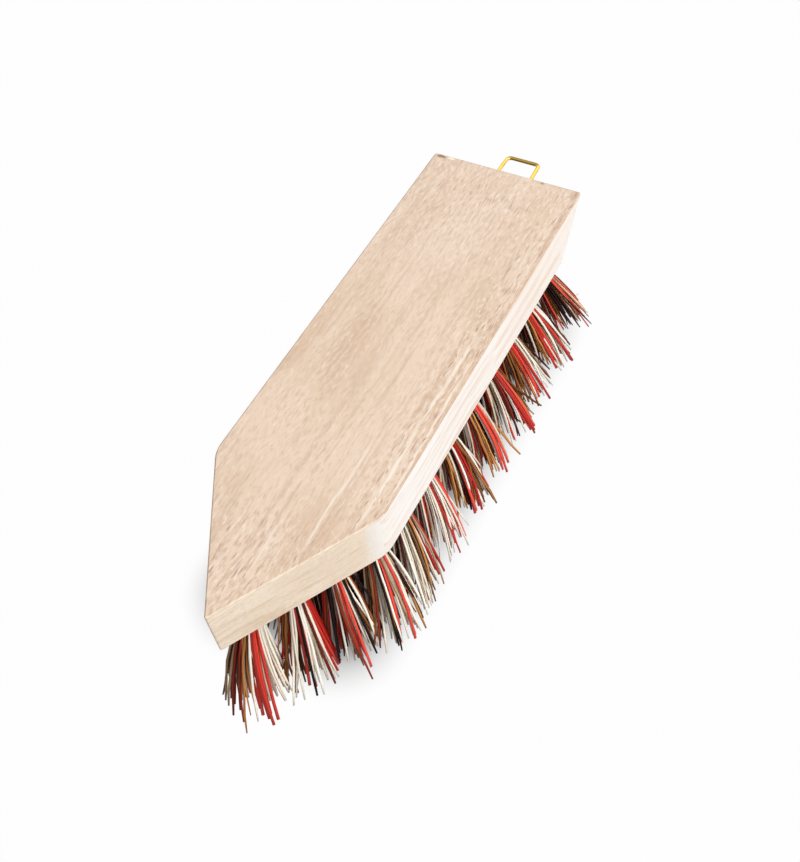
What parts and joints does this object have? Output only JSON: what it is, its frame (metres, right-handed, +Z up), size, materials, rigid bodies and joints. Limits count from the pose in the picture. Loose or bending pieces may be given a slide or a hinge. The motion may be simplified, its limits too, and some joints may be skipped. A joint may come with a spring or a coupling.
{
  "type": "shoe brush",
  "caption": "Pointed beech hand brush for shoes and boots, with flared tufts of mixed fibre in drilled holes and a bent wire loop in its slanted back end to hang it by.",
  "frame": {"origin": "under the middle of the whole brush, on the level of the bristle ends that it stands on", "axes": "+X along the brush towards its point, +Y towards the long side seen in the picture, +Z up through the wooden top"},
  "size_m": [0.19, 0.0732, 0.0455],
  "materials": {
    "beech": "bare beech, planed smooth and unvarnished, with short dark flecks along the grain",
    "brass_wire": "bright drawn wire, brass coloured",
    "fibre_mix": "loose mixture of red, white and black plastic filaments with brown and tan plant fibre",
    "anchor_wire": "flat galvanised wire, inside the tuft holes"
  },
  "bodies": {
    "root": {"beech_block": "beech", "hanging_loop": "brass_wire", "tuft_left_1": "fibre_mix", "tuft_left_2": "fibre_mix", "tuft_left_3": "fibre_mix", "tuft_left_4": "fibre_mix", "tuft_left_5": "fibre_mix", "tuft_left_6": "fibre_mix", "tuft_left_7": "fibre_mix", "tuft_left_8": "fibre_mix", "tuft_left_9": "fibre_mix", "tuft_inner_left_1": "fibre_mix", "tuft_inner_left_2": "fibre_mix", "tuft_inner_left_3": "fibre_mix", "tuft_inner_left_4": "fibre_mix", "tuft_inner_left_5": "fibre_mix", "tuft_inner_left_6": "fibre_mix", "tuft_inner_left_7": "fibre_mix", "tuft_inner_left_8": "fibre_mix", "tuft_front_left_1": "fibre_mix", "tuft_front_left_2": "fibre_mix", "tuft_right_1": "fibre_mix", "tuft_right_2": "fibre_mix", "tuft_right_3": "fibre_mix", "tuft_right_4": "fibre_mix", "tuft_right_5": "fibre_mix", "tuft_right_6": "fibre_mix", "tuft_right_7": "fibre_mix", "tuft_right_8": "fibre_mix", "tuft_right_9": "fibre_mix", "tuft_inner_right_1": "fibre_mix", "tuft_inner_right_2": "fibre_mix", "tuft_inner_right_3": "fibre_mix", "tuft_inner_right_4": "fibre_mix", "tuft_inner_right_5": "fibre_mix", "tuft_inner_right_6": "fibre_mix", "tuft_inner_right_7": "fibre_mix", "tuft_inner_right_8": "fibre_mix", "tuft_front_right_1": "fibre_mix", "tuft_front_right_2": "fibre_mix", "tuft_centre": "fibre_mix", "tuft_tip": "fibre_mix"}
  },
  "joints": []
}
